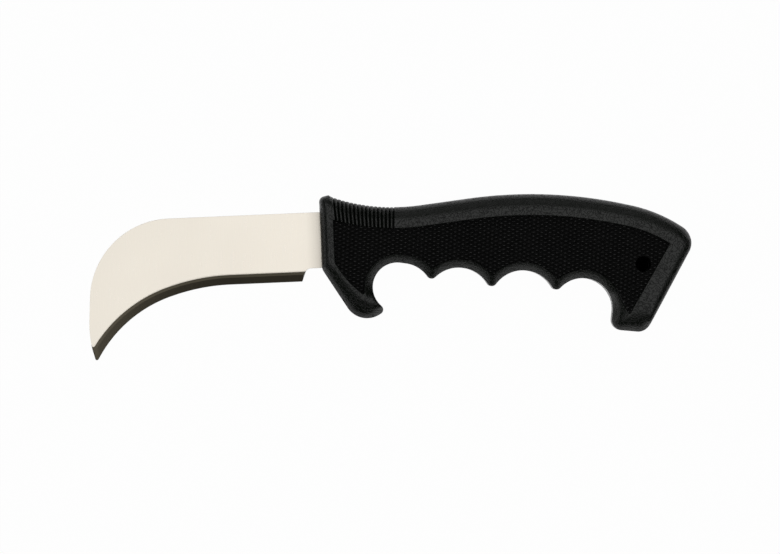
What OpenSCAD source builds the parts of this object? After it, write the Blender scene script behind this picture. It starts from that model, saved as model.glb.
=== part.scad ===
// Hook knife with a moulded finger-grip handle. All sizes in millimetres.
// The knife lies on its side: X along the spine with the handle at +X,
// Y towards the spine, Z up through the thickness of the handle.
// Drawn from the front face of the collar on the centre line of the tang,
// then moved so that the origin is under the middle of the whole knife.

/* [Blade] */
// From the front of the handle to the foremost point of the blade
blade_reach = 82.2; // [77:0.1:87]
// Thickness of the steel
blade_thick = 2; // [1.5:0.1:2.6]
// Height of the steel where it meets the handle
stock_h = 19.5; // [18.6:0.1:20.4]
// How far the cutting edge lies below that steel
edge_drop = 4.5; // [4:0.1:5.3]
// Straight stretch between the back of the hook and its front
front_len = 8; // [6:0.1:9.5]
// Radius of the back of the hook
hook_r = 28.6; // [26.5:0.1:30]
// Radius of the front of the hook above the point
nose_r = 38; // [35:0.1:42]
// From the spine down to the foremost point
nose_drop = 37.2; // [35.5:0.1:39]
// Rounding of the point
tip_r = 0.6; // [0.4:0.05:0.8]
// Radius of the cutting edge behind the hook
edge_r = 68.8; // [60:0.1:76]
// Radius of the cutting edge inside the hook
edge_hook_r = 45.9; // [42.8:0.1:48.8]
// From the handle to where the straight edge ends
edge_flat = 32.3; // [30:0.1:36]
// Turn of the edge before the tighter radius takes over
edge_turn = 19; // [16:0.5:22]
// Width of the ground bevel
bevel_w = 3.6; // [2.6:0.1:4]
// From the handle to the heel of the edge
heel_gap = 7; // [6.4:0.1:9]
// Radius in the corner of the notch behind the edge
notch_r = 2.1; // [1.6:0.1:2.6]

/* [Tang] */
// From the last rivet to the end of the tang
tang_end = 8; // [6:0.1:12]
// Height of the tang
tang_h = 10; // [8:0.1:11.5]
// Rounding of the end of the tang
tang_r = 3; // [1:0.1:3.6]

/* [Handle outline] */
// From the collar to the end of the butt
handle_len = 129; // [126:0.1:132]
// Thickness over both rims
handle_thick = 20; // [18:0.2:24]
// Length of the collar along the spine
collar_len = 3.8; // [3.4:0.1:4.2]
// Rounding of the top of the collar
collar_r = 2; // [1.4:0.1:2.4]
// How far the collar stands above the front end of the thumb ramp
collar_rise = 0.4; // [0.3:0.05:0.6]
// From the tang down to the lower corner of the collar
chin_drop = 9.1; // [8.4:0.1:10]
// Rounding of that corner
chin_r = 3.9; // [3:0.1:4.6]
// From the tang down to the bottom of the guard
guard_drop = 28; // [26.5:0.1:30]
// From the collar to the middle of the guard
guard_x = 15.3; // [14.6:0.1:16]
// Radius of the bottom of the guard
guard_r = 8.1; // [7.4:0.1:8.8]
// Rounding of the tip of the guard
guard_tip_r = 1.6; // [1.2:0.1:1.9]
// Height of the palm swell above the tang
palm_h = 13; // [12.4:0.1:13.8]
// Where along the handle the palm swell is highest, as a share of its length
palm_share = 0.522; // [0.49:0.001:0.55]
// Radius of the palm swell
palm_r = 156; // [140:1:175]
// Turn of the palm swell before the tail begins
tail_turn = 15.8; // [14.5:0.1:17]
// Radius of the tail behind the swell
tail_r = 52; // [47:0.5:58]
// Radius of the upper corner of the butt
butt_r = 6.6; // [5:0.1:8]
// Height of the lowest point of the thumb ramp above the tang
ramp_h = 10.3; // [9.9:0.05:10.7]
// Radius of the thumb ramp
ramp_r = 67; // [60:0.5:74]
// Straight stretch between the ramp and the palm swell
ramp_run = 17.6; // [14:0.1:20]
// From the tang down to the heel behind the little finger
heel_drop = 36; // [34.5:0.1:38]
// Rounding of that heel
heel_r = 3.7; // [3:0.1:4.4]
// Straight stretch between the little groove and the heel
heel_run = 2.4; // [1.6:0.1:3.2]
// From the middle of the heel to the middle of the butt corner
heel_len = 5.5; // [4:0.1:7]
// Radius of the lower corner of the butt
butt_foot_r = 4.5; // [4:0.1:5.4]
// How far that corner reaches below the heel
butt_foot_drop = 0.7; // [0.3:0.1:1.4]

/* [Finger grooves] */
// From the collar to the middle of the index groove
index_x = 26; // [25.6:0.1:26.6]
// From the tang down to the top of the index groove
index_top = 9; // [8.4:0.1:9.6]
// Radius of the index groove beside the guard
index_r = 8.6; // [8.2:0.1:9]
// How much wider that groove runs out behind
index_flare = 2.2; // [1.4:0.1:2.8]
// How far back the wider part is centred
flare_back = 1.5; // [1.2:0.1:1.9]
// How far down the wider part is centred
flare_down = 2.5; // [2.3:0.1:3]
// From the middle of the little groove to the end of the butt
little_back = 38.8; // [36:0.1:42]
// Where the middle groove lies on the way from the index to the little groove
middle_share = 0.33; // [0.31:0.005:0.35]
// Where the ring groove lies on that way
ring_share = 0.678; // [0.66:0.001:0.7]
// From the tang down to the top of the middle groove
middle_top = 11.7; // [11:0.1:12.6]
// Radius of the middle groove
middle_r = 11.7; // [11:0.1:12.6]
// From the tang down to the top of the ring groove
ring_top = 13.6; // [12.8:0.1:14.4]
// Radius of the ring groove
ring_r = 11.7; // [11:0.1:12.6]
// From the tang down to the top of the little groove
little_top = 17.2; // [16.4:0.1:18]
// Radius of the little groove
little_r = 10.6; // [10:0.1:11.2]
// Rounding of the ridges between the grooves
ridge_r = 1.75; // [1.4:0.05:2.1]

/* [Rounding] */
// How far down the sides the rounding of the edges reaches
round_d = 6.5; // [5:0.1:7.4]
// Width of the rounding along the back
back_w = 4; // [3:0.1:4.6]
// Width of the rounding in the grooves
groove_w = 2.2; // [1.6:0.1:2.5]
// Width of the rounding round the guard
guard_w = 3.6; // [2.6:0.1:4.4]
// Width of the rounding at the butt
butt_w = 2.8; // [2:0.1:3]
// Width of the rounding at the lower corner of the collar
chin_w = 2; // [1.6:0.1:2.4]
// Width of the rounding at the top of the collar
collar_w = 1.2; // [0.9:0.1:1.3]

/* [Grip panel] */
// Width of the rim along the back
top_band = 7.4; // [6.8:0.1:8]
// Width of the rim along the butt
butt_band = 7.6; // [6.8:0.1:8.4]
// Width of the rim along the collar
collar_band = 4.7; // [4.2:0.1:5.4]
// Width of the rim in the grooves
groove_band = 2.7; // [2.6:0.1:3.2]
// Width of the rim at the heel
heel_band = 6; // [5.2:0.1:7]
// How much of the panel's low end the rim of the little groove takes up, as a share
heel_share = 0.5; // [0:0.05:0.7]
// From the tang down to the lowest corner in the guard
guard_panel_drop = 19.2; // [18:0.1:20]
// Rounding of that corner
guard_panel_r = 0.9; // [0.7:0.1:1.3]
// Room between that corner and the line of the index groove
guard_panel_gap = 0.6; // [0.3:0.1:1]
// From the tang down to the corner behind the collar
chin_panel_drop = 7.8; // [6.8:0.1:8.6]
// Radius of the bowed edge between these two corners
guard_bow_r = 36; // [28:1:60]
// Thickness of the panel
panel_thick = 1.6; // [1.2:0.1:2.2]
// How far the panel lies below the rim
panel_sink = 0.8; // [0.5:0.1:1.2]
// Rounding of the corners of the panel
panel_r = 0.8; // [0.5:0.1:1.2]

/* [Thumb ribs] */
// Number of ribs
rib_count = 16; // [12:1:16]
// Distance from one rib to the next
rib_pitch = 1.37; // [1.2:0.01:1.5]
// Width of the grooves between the ribs
rib_gap = 0.5; // [0.4:0.05:0.6]
// Depth of these grooves
rib_depth = 0.9; // [0.6:0.1:1.2]

/* [Rivets] */
// From the collar to the first rivet
rivet_x = 14; // [12:0.1:16]
// Distance from one rivet to the next
rivet_pitch = 36; // [32:0.5:37]
// Radius of the shank of a stud
stud_r = 1.6; // [1.3:0.1:1.8]
// Outer radius of a sleeve
sleeve_r = 2.6; // [2.4:0.1:2.9]
// Radius of the heads
head_r = 3.6; // [3.2:0.1:4]
// Thickness of the heads
head_t = 1.4; // [1:0.1:1.8]

/* [Hanging hole] */
// From the butt in to the hole
hole_inset = 12.1; // [11:0.1:14]
// From the tang down to the hole
hole_drop = 13.2; // [11:0.1:15]
// Radius of the hole
hole_r = 2.75; // [2.25:0.05:3.25]

/* [Fits] */
// Room round the tang in its pocket
tang_gap = 0.1; // [0.05:0.01:0.2]
// Room round the panels in their pockets
panel_gap = 0.1; // [0.05:0.01:0.2]
// Room round the rivets
rivet_gap = 0.15; // [0.1:0.01:0.2]

/* [Hidden] */

half_t = handle_thick / 2;
spine_y = stock_h / 2;
edge_y = -stock_h / 2 - edge_drop;
rivets = [for (i = [0:2]) rivet_x + i * rivet_pitch];
tang_len = rivets[2] + tang_end;
seam = 0.05;
over = 1;
bore_fn = 48;
// Hair of straight line left between circles that touch
ease = 0.03;
// Step of the rounding, in degrees
round_step = 18;

// Other short side of a triangle with a right angle
function leg(c, a) = sqrt(max(0, c * c - a * a));

// Angle from 0 up to a full turn; a hair under a full turn counts as none
function turn_of(a) = let(t = ((a % 360) + 360) % 360) t > 350 ? t - 360 : t;

// Point that lies ra from a and rb from b, on the left of the way from a to b
function meet(a, ra, b, rb) =
    let(d = [b[0] - a[0], b[1] - a[1]],
        l = norm(d),
        q = (ra * ra - rb * rb + l * l) / (2 * l),
        h = leg(ra, q))
    [a[0] + (d[0] * q - d[1] * h) / l, a[1] + (d[1] * q + d[0] * h) / l];

// The closed line of a belt laid round circles [x, y, r]: round the outside
// where r is above zero and into the outline where it is below. n[i] is the
// number of steps round circle i.
function belt(c, n) =
    let(m = len(c),
        way = [for (i = [0:m - 1])
            let(a = c[i],
                b = c[(i + 1) % m],
                l = norm([b[0] - a[0], b[1] - a[1]]),
                q = max(-1, min(1, (b[2] - a[2]) / l)))
            atan2(b[1] - a[1], b[0] - a[0]) - asin(q)])
    [for (i = [0:m - 1])
        let(t0 = way[(i + m - 1) % m],
            s = c[i][2],
            w = s > 0 ? turn_of(way[i] - t0) : -turn_of(t0 - way[i]))
        for (k = [0:n[i]])
            let(t = t0 + w * k / n[i])
            [c[i][0] + s * sin(t), c[i][1] - s * cos(t)]];

// A solid through rings of equally many points, each at its own height
module loft(rings, heights) {
    n = len(rings[0]);
    m = len(rings);
    points = [for (k = [0:m - 1]) for (p = rings[k]) [p[0], p[1], heights[k]]];
    low = [for (i = [0:n - 1]) i];
    high = [for (i = [0:n - 1]) m * n - 1 - i];
    side = [for (k = [0:m - 2]) for (i = [0:n - 1])
        let(a = k * n + i, b = k * n + (i + 1) % n)
        each [[a, a + n, b + n], [a, b + n, b]]];
    resize([0, 0, 0])
        polyhedron(points, concat([low], [high], side), convexity = 8);
}

// Circles of the blade
nose = [nose_r - blade_reach, spine_y - nose_drop];
hook_y = spine_y - hook_r;
hook = [nose[0] - leg(norm([nose_r - hook_r, front_len]), hook_y - nose[1]), hook_y];
edge_c = [-edge_flat, edge_y - edge_r];
bend = edge_r - edge_hook_r + ease;
throat = edge_c + bend * [-sin(edge_turn), cos(edge_turn)];
heel_edge_r = 0.3;
heel_nose = 0.9;
notch = [-heel_gap + heel_nose + notch_r, -stock_h / 2 - notch_r];
corner_r = 0.25;
root_r = 0.6;
function tip_at(w) =
    meet(throat, edge_hook_r + w + tip_r + ease, nose, nose_r - tip_r + ease);
function heel_at(w) =
    let(y = edge_y + w + heel_edge_r,
        r = notch_r + heel_edge_r + ease)
    [notch[0] - leg(r, max(0, y - notch[1])) - (w > 0 ? 0 : heel_nose), y];

// Outline of the blade with its edge moved in by w
function blade_belt(w) =
    let(t = tip_at(w), h = heel_at(w), x = -seam, y = tang_h / 2)
    [[t[0], t[1], tip_r],
     [throat[0], throat[1], -edge_hook_r - w],
     [edge_c[0], edge_c[1], -edge_r - w],
     [h[0], h[1], heel_edge_r],
     [notch[0], notch[1], -notch_r],
     [x - corner_r, -stock_h / 2 + corner_r, corner_r],
     [x + root_r, -y - root_r, -root_r],
     [tang_len - tang_r, tang_r - y, tang_r],
     [tang_len - tang_r, y - tang_r, tang_r],
     [x + root_r, y + root_r, -root_r],
     [x - corner_r, spine_y - corner_r, corner_r],
     [hook[0], hook[1], hook_r],
     [nose[0], nose[1], nose_r]];
blade_n = [3, 16, 8, 3, 6, 3, 3, 5, 5, 3, 3, 20, 8];

// Circles of the handle
guard = [guard_x, guard_r - guard_drop];
index_a = [index_x, -index_top - index_r];
index_b = index_a + [flare_back, -flare_down];
finger_run = handle_len - little_back - index_x;
middle = [index_x + middle_share * finger_run, -middle_top - middle_r];
ring = [index_x + ring_share * finger_run, -ring_top - ring_r];
little = [index_x + finger_run, -little_top - little_r];
heel_y = heel_r - heel_drop;
heel = [little[0] + leg(norm([little_r + heel_r, heel_run]), heel_y - little[1]), heel_y];
foot = [heel[0] + heel_len, butt_foot_r - heel_drop - butt_foot_drop];
palm = [palm_share * handle_len, palm_h - palm_r];
tail = palm + (palm_r - tail_r + ease) * [sin(tail_turn), cos(tail_turn)];
butt_x = handle_len - butt_r;
butt = [butt_x, tail[1] + leg(tail_r - butt_r + ease, butt_x - tail[0])];
ramp_y = ramp_h + ramp_r;
ramp = [palm[0] - leg(norm([palm_r + ramp_r, ramp_run]), ramp_y - palm[1]), ramp_y];
collar_tip_r = 0.55;
collar_x = collar_len - collar_tip_r;
collar_top = ramp_y - leg(ramp_r, ramp[0] - collar_len) + collar_rise;
collar_slope = 0.3;
// Corner between the ramp and the end wall of the collar
collar_root_r = 0.2;
collar_draft = 0.25;
collar_root_x = collar_len + collar_draft + collar_root_r;
// Roundings left at the top of the rim
ridge_top_r = 0.35;
tip_top_r = 0.4;
collar_top_r = 0.15;

// Outline of the handle with its edges moved in by the share f of the rounding
function handle_belt(f) =
    let(g = groove_w * f,
        e = ridge_r - (ridge_r - ridge_top_r) * f,
        u = guard_tip_r - (guard_tip_r - tip_top_r) * f,
        p = ramp_r + back_w * f,
        root_y = ramp_y - leg(p - collar_root_r + ease, ramp[0] - collar_root_x),
        i2 = index_r + index_flare + g,
        m2 = middle_r + g,
        r2 = ring_r + g,
        l2 = little_r + g,
        tip = meet(index_a, index_r + g + u + ease, guard, guard_r - guard_w * f - u + ease),
        k1 = meet(index_b, i2 + e + ease, middle, m2 + e + ease),
        k2 = meet(middle, m2 + e + ease, ring, r2 + e + ease),
        k3 = meet(ring, r2 + e + ease, little, l2 + e + ease))
    [[chin_r, -chin_drop, chin_r - chin_w * f],
     [guard[0], guard[1], guard_r - guard_w * f],
     [tip[0], tip[1], u],
     [index_a[0], index_a[1], -index_r - g],
     [index_b[0], index_b[1], -i2],
     [k1[0], k1[1], e],
     [middle[0], middle[1], -m2],
     [k2[0], k2[1], e],
     [ring[0], ring[1], -r2],
     [k3[0], k3[1], e],
     [little[0], little[1], -l2],
     [heel[0], heel[1], heel_r - g],
     [foot[0], foot[1], butt_foot_r - butt_w * f],
     [butt[0], butt[1], butt_r - butt_w * f],
     [tail[0], tail[1], tail_r - back_w * f],
     [palm[0], palm[1], palm_r - back_w * f],
     [ramp[0], ramp[1], -p],
     [collar_root_x, root_y, -collar_root_r],
     [collar_x, collar_top - collar_tip_r, collar_tip_r - (collar_tip_r - collar_top_r) * f],
     [collar_r, collar_top - collar_r - collar_slope, collar_r - collar_w * f]];
handle_n = [4, 9, 7, 14, 4, 7, 11, 7, 11, 7, 14, 7, 6, 9, 7, 10, 12, 3, 3, 5];

// Line of the butt, and the corners of the panel along it
butt_way = atan2(butt[1] - foot[1], butt[0] - foot[0])
    - asin((butt_r - butt_foot_r) / norm(butt - foot));
along = [cos(butt_way), sin(butt_way)];
inward = [-sin(butt_way), cos(butt_way)];
hole_line = foot + (hole_inset - butt_foot_r) * inward;
hole = hole_line - (hole_drop + hole_line[1]) / along[1] * along;
panel_line = foot + (butt_band + panel_r - butt_foot_r) * inward;
to_tail = panel_line - tail;
top_step = leg(tail_r - top_band - panel_r - ease, inward * to_tail) - along * to_tail;
panel_top = panel_line + top_step * along;
low_y = heel_band + panel_r - heel_drop;
panel_low = panel_line + (low_y - panel_line[1]) / along[1] * along;
panel_tip_r = 0.4;
heel_rise = low_y + panel_tip_r;
panel_side = little[0] + leg(little_r + groove_band + panel_r + ease, heel_rise - little[1]);
panel_heel = [panel_side + heel_share * (panel_low[0] - panel_side), heel_rise];
panel_x = collar_band + panel_r;
panel_front = [panel_x, ramp[1] - leg(ramp_r + top_band + panel_r + ease, ramp[0] - panel_x)];
guard_panel_x = index_x - index_r - groove_band - guard_panel_gap - guard_panel_r;
panel_chin = [panel_x, -chin_panel_drop];
panel_guard = [guard_panel_x, guard_panel_r - guard_panel_drop];
guard_bow = meet(panel_chin, guard_bow_r - panel_r + ease, panel_guard, guard_bow_r - guard_panel_r + ease);

// Outline of a panel, made smaller by w all round
function panel_belt(w) =
    let(g = groove_band + w,
        e = panel_tip_r,
        i2 = index_r + index_flare + g,
        m2 = middle_r + g,
        r2 = ring_r + g,
        l2 = little_r + g,
        k1 = meet(index_b, i2 + e + ease, middle, m2 + e + ease),
        k2 = meet(middle, m2 + e + ease, ring, r2 + e + ease),
        k3 = meet(ring, r2 + e + ease, little, l2 + e + ease))
    [[panel_chin[0], panel_chin[1], panel_r - w],
     [guard_bow[0], guard_bow[1], guard_bow_r - w],
     [panel_guard[0], panel_guard[1], guard_panel_r - w],
     [index_a[0], index_a[1], -index_r - g],
     [index_b[0], index_b[1], -i2],
     [k1[0], k1[1], e],
     [middle[0], middle[1], -m2],
     [k2[0], k2[1], e],
     [ring[0], ring[1], -r2],
     [k3[0], k3[1], e],
     [little[0], little[1], -l2],
     [panel_heel[0], panel_heel[1], panel_r - w],
     [panel_low[0], panel_low[1], panel_r - w],
     [panel_top[0], panel_top[1], panel_r - w],
     [tail[0], tail[1], tail_r - top_band - w],
     [palm[0], palm[1], palm_r - top_band - w],
     [ramp[0], ramp[1], -ramp_r - top_band - w],
     [panel_front[0], panel_front[1], panel_r - w]];
panel_n = [4, 8, 4, 12, 4, 4, 10, 4, 10, 4, 10, 4, 4, 4, 6, 8, 10, 4];

floor_z = half_t - panel_sink - panel_thick;

// Extents of the whole knife, for the origin
tip_low = tip_at(0)[1] - tip_r;
low_edge = min(tip_low, -heel_drop - butt_foot_drop);
shift = [(blade_reach - handle_len) / 2, -(collar_top + low_edge) / 2, half_t];

// Section through the edge of the back, for a cut of depth e
function back_cut(e) =
    concat([[-over, -over], [e, -over]],
           [for (a = [0:round_step:90])
               let(n = [round_d * cos(a), back_w * sin(a)])
               [back_w * (1 - cos(a)), half_t - round_d + round_d * sin(a)]
                   + e / norm(n) * [n[0], -n[1]]],
           [[top_band + over, half_t - e], [top_band + over, half_t + over], [-over, half_t + over]]);

// The same cut as a slab w wide, square to the spine and x0 behind the collar
module rib_cut(x0, w, e) {
    translate([x0 - w / 2, ramp_y - leg(ramp_r, ramp[0] - x0), 0])
        rotate([90, 0, 90])
            linear_extrude(w)
                mirror([1, 0])
                    polygon(back_cut(e));
}

module tang_pocket() {
    y = tang_h / 2 + tang_gap;
    translate([-over, -y, -over])
        cube([tang_len + tang_gap + over, 2 * y, over + blade_thick / 2 + tang_gap / 2]);
}

// One half of the handle, seam at height zero
module half_shell() {
    turns = [0:round_step:90];
    shares = [for (a = turns) 1 - cos(a)];
    difference() {
        loft(concat([belt(handle_belt(0), handle_n)],
                    [for (f = shares) belt(handle_belt(f), handle_n)]),
             concat([0], [for (a = turns) half_t - round_d + round_d * sin(a)]));
        translate([0, 0, floor_z])
            linear_extrude(panel_thick + panel_sink + over)
                polygon(belt(panel_belt(0), panel_n));
        for (i = [1:rib_count])
            rib_cut(collar_len + i * rib_pitch, rib_gap, rib_depth);
        tang_pocket();
        for (x = rivets) {
            translate([x, 0, -over])
                cylinder(h = half_t, r = sleeve_r + rivet_gap, $fn = bore_fn);
            translate([x, 0, floor_z - head_t])
                cylinder(h = head_t + over, r = head_r + rivet_gap, $fn = bore_fn);
        }
        translate([hole[0], hole[1], -over])
            cylinder(h = half_t + 2 * over, r = hole_r, $fn = bore_fn);
    }
}

module half_panel() {
    translate([0, 0, floor_z])
        difference() {
            linear_extrude(panel_thick)
                polygon(belt(panel_belt(panel_gap), panel_n));
            translate([hole[0], hole[1], -over])
                cylinder(h = panel_thick + 2 * over, r = hole_r, $fn = bore_fn);
        }
}

module blade() {
    t = blade_thick / 2;
    flat = belt(blade_belt(bevel_w), blade_n);
    color([0.82, 0.80, 0.76])
        translate(shift)
            difference() {
                loft([flat, belt(blade_belt(0), blade_n), flat], [-t, 0, t]);
                for (x = rivets)
                    translate([x, 0, -t - over])
                        cylinder(h = blade_thick + 2 * over, r = sleeve_r + rivet_gap, $fn = bore_fn);
            }
}

module shell_left() {
    color([0.12, 0.12, 0.12])
        translate(shift)
            half_shell();
}

module shell_right() {
    color([0.12, 0.12, 0.12])
        translate(shift)
            mirror([0, 0, 1])
                half_shell();
}

module panel_left() {
    color([0.04, 0.04, 0.04])
        translate(shift)
            half_panel();
}

module panel_right() {
    color([0.04, 0.04, 0.04])
        translate(shift)
            mirror([0, 0, 1])
                half_panel();
}

module rivet_studs() {
    color([0.65, 0.65, 0.66])
        translate(shift)
            for (x = rivets) {
                translate([x, 0, floor_z - head_t])
                    cylinder(h = head_t, r = head_r, $fn = bore_fn);
                translate([x, 0, -floor_z])
                    cylinder(h = 2 * floor_z - head_t / 2, r = stud_r, $fn = bore_fn);
            }
}

module rivet_sleeves() {
    top = floor_z - head_t - rivet_gap;
    color([0.70, 0.66, 0.55])
        translate(shift)
            for (x = rivets)
                translate([x, 0, -floor_z])
                    difference() {
                        union() {
                            cylinder(h = head_t, r = head_r, $fn = bore_fn);
                            cylinder(h = top + floor_z, r = sleeve_r, $fn = bore_fn);
                        }
                        translate([0, 0, -over])
                            cylinder(h = 2 * floor_z + 2 * over, r = stud_r + rivet_gap, $fn = bore_fn);
                    }
}

blade();
shell_left();
shell_right();
panel_left();
panel_right();
rivet_studs();
rivet_sleeves();
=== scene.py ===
import math

import bmesh
import bpy
import numpy as np
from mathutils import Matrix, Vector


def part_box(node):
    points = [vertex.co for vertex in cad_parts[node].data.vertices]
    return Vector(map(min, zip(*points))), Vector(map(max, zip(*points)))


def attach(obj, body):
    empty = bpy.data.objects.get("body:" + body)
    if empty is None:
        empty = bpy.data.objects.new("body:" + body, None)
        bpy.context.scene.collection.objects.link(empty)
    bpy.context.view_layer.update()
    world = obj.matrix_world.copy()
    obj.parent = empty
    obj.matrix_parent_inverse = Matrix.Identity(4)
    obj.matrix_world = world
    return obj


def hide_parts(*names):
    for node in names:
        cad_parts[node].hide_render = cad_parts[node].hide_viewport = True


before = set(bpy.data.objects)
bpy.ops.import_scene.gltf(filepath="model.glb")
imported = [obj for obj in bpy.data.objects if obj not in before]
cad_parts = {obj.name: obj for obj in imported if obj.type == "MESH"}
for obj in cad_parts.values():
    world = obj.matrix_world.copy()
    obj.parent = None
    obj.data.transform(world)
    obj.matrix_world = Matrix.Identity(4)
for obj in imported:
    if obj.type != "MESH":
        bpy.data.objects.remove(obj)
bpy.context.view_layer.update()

# Sizes are in millimetres and angles in degrees, on the knife's own axes: X runs back from the front
# of the collar, Y up from the centre line of the tang and Z out from the blade's middle plane. An
# outline is a belt laid round circles, and a name that ends in _R is the radius of such a circle.
MM = 0.001

# The blade: spine and hook, then the edge, then the notch behind it
BLADE_REACH = 82.2
BLADE_THICK = 2.0
STOCK_H = 19.5
FRONT_LEN = 8.0
HOOK_R = 28.6
NOSE_R = 38.0
NOSE_DROP = 37.2
TIP_R = 0.61
EDGE_DROP = 4.5
EDGE_R = 68.8
EDGE_HOOK_R = 45.9
EDGE_FLAT = 32.3
EDGE_TURN = 19.0
HEEL_GAP = 7.0
HEEL_NOSE = 0.9
HEEL_EDGE_R = 0.3
NOTCH_R = 2.1
# Width of the ground bevel, the share of it at which its flatter upper band begins, and that band's slope
BEVEL_W = 3.7
BEVEL_TOP = 0.7
BEVEL_TOP_TURN = 8.0
# Width and depth of the broken corners of the sheet
ARRIS = 0.08
ARRIS_DEEP = 0.08
# The tang, and the corners where it leaves the blade just inside the collar
SEAM = 0.05
CORNER_R = 0.25
ROOT_R = 0.6
TANG_LEN = 94.0
TANG_H = 10.0
TANG_R = 3.0
TANG_GAP = 0.1

# The handle: collar, guard, back, butt and heel, then the four finger grooves and the ridges between
HANDLE_LEN = 129.0
HALF_T = 10.0
COLLAR_LEN = 3.8
COLLAR_R = 2.0
COLLAR_TIP_R = 0.55
COLLAR_SLOPE = 0.3
COLLAR_RISE = 0.4
COLLAR_ROOT_R = 0.2
COLLAR_DRAFT = 0.25
CHIN_DROP = 9.1
CHIN_R = 3.9
GUARD_DROP = 28.0
GUARD_X = 15.3
GUARD_R = 8.1
GUARD_TIP_R = 1.6
PALM_H = 13.0
PALM_SHARE = 0.522
PALM_R = 156.0
TAIL_TURN = 15.8
TAIL_R = 52.0
BUTT_R = 6.6
RAMP_H = 10.3
RAMP_R = 67.0
RAMP_RUN = 17.6
HEEL_DROP = 36.0
HEEL_R = 3.7
HEEL_RUN = 2.4
HEEL_LEN = 5.5
FOOT_R = 4.5
FOOT_DROP = 0.7
INDEX_X = 26.0
INDEX_TOP = 9.0
INDEX_R = 8.6
INDEX_FLARE = 2.2
FLARE_BACK = 1.5
FLARE_DOWN = 2.5
LITTLE_BACK = 38.8
MIDDLE_SHARE = 0.33
MIDDLE_TOP = 11.7
MIDDLE_R = 11.7
RING_SHARE = 0.678
RING_TOP = 13.6
RING_R = 11.7
LITTLE_TOP = 17.2
LITTLE_R = 10.6
RIDGE_R = 1.75

# The rounding from the side of the handle to its rim: height, widths, and the radii left at the top
ROUND_D = 6.5
BACK_W = 4.0
GROOVE_W = 2.2
GUARD_W = 3.6
BUTT_W = 2.8
CHIN_W = 2.0
COLLAR_W = 1.2
RIDGE_TOP_R = 0.35
TIP_TOP_R = 0.4
COLLAR_TOP_R = 0.15

# How the rim falls towards the side: width and depth of a quarter round
BACK_ROUND = (5.8, 4.8)
BUTT_ROUND = (3.4, 2.7)
COLLAR_ROUND = (3.0, 4.2)
# The same for a face that falls away: width, depth and power
GUARD_BEAD = (1.9, 0.6, 1.5)
TIP_FALL = (1.0, 0.6, 2.0)
GROOVE_FALL = (2.9, 2.75, 1.2)
HEEL_BEAD = (2.8, 1.25, 1.5)
HEEL_FALL = (9.0, 4.4, 1.25)
# The face of the guard runs up to the panel, but no further than this
GUARD_FACE_W = 7.0
GUARD_FACE_SLOPE = 0.55
GUARD_FACE_POWER = 1.5

# The grip panel: width of the rim round it, its corners, its thickness and its place below the rim
TOP_BAND = 7.5
BUTT_BAND = 7.4
BUTT_BAND_LOW = 8.1
COLLAR_BAND = 4.7
GROOVE_BAND = 2.8
HEEL_BAND = 5.8
HEEL_PANEL_IN = 2.4
GUARD_PANEL_DROP = 19.4
GUARD_PANEL_R = 0.5
GUARD_PANEL_GAP = 0.1
GUARD_BOW_R = 35.0
CHIN_PANEL_DROP = 8.1
PANEL_R = 0.2
PANEL_TIP_R = 0.4
PANEL_THICK = 1.6
PANEL_SINK = 0.8
PANEL_GAP = 0.1
LIP = 0.25

# The thumb ribs: lean is sideways for each millimetre inwards
RIB_COUNT = 16
RIB_PITCH = 1.39
RIB_FIRST = 5.05
RIB_LEAN_FRONT = 0.07
RIB_LEAN_BACK = 0.05
RIB_DEPTH = 0.9
# Depth of the crests below the rim, and how much more at the edge of a groove
RIB_LOW = 0.15
RIB_EDGE = 0.1
# Half the width of a groove, and the room before the first and behind the last, in pitches
RIB_WALL = 0.24
RIB_BEFORE = 0.27
RIB_BEHIND = 0.3
# Share of the depth that is left at the side, and how soon the full depth is reached
RIB_SHALLOW = 0.28
RIB_SOON = 1.4
# Least room between the ribs and the end wall of the collar
COLLAR_CLEAR = 0.1

# Rivets and hanging hole
RIVET_COUNT = 3
RIVET_X = 14.0
RIVET_PITCH = 36.0
SLEEVE_R = 2.6
HEAD_R = 3.6
HEAD_T = 1.4
RIVET_GAP = 0.15
HOLE_INSET = 12.1
HOLE_DROP = 13.2
HOLE_R = 2.75

# The chequering: half length, half height and depth of a diamond, the share left on top and its stretch
DIAMOND_A = 1.43
DIAMOND_B = 0.7
DIAMOND_H = 0.6
DIAMOND_TOP = 0.14
DIAMOND_LONG = 2.5
DIAMOND_LEAN = 0.03
DIAMOND_TURN = -4.0
SHEET_MORE = 9.0
SHEET_MERGE = 0.02
# Rise of the normals by which a diamond's base and its top are told from its sides
FACES_DOWN = -0.5
FACES_UP = 0.9

# Hair of line left between circles that touch, a smaller one, and how far cutters stand out
EASE = 0.03
HAIR = 0.0001
OVER = 1.0
NEAR_FULL_TURN = 350.0

# Steps round a bore, up the rounding, and along the ramp: behind the ribs, through them and before them
BORE_STEPS = 64
ROUND_STEPS = 10
RAMP_STEPS = 26
RIB_STEPS = 192
LIP_STEPS = 5
# Rings across the rim, as shares of its width, and down the lip at the panel's edge
RIM_SHARES = (0.1, 0.2, 0.3, 0.4, 0.5, 0.6, 0.7, 0.78, 0.86, 0.93, 1.0)
LIP_ANGLES = (30, 60, 90)
# Angle up to which neighbouring faces are shaded as one
SHELL_CREASE = 35
PANEL_CREASE = 20
BLADE_CREASE = 9

# Where the knife's own origin lies in the frame, in metres
shell_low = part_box("shell_left")[0]
blade_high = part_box("blade")[1]
KNIFE = (shell_low[0], blade_high[1] - STOCK_H / 2 * MM, shell_low[2])


def leg(long_side, short_side):
    """Other short side of a triangle with a right angle."""
    return math.sqrt(max(0.0, long_side ** 2 - short_side ** 2))


def turn_of(angle):
    """Angle from 0 up to a full turn; a hair under a full turn counts as none."""
    turn = angle % math.tau
    return turn - math.tau if turn > math.radians(NEAR_FULL_TURN) else turn


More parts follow.
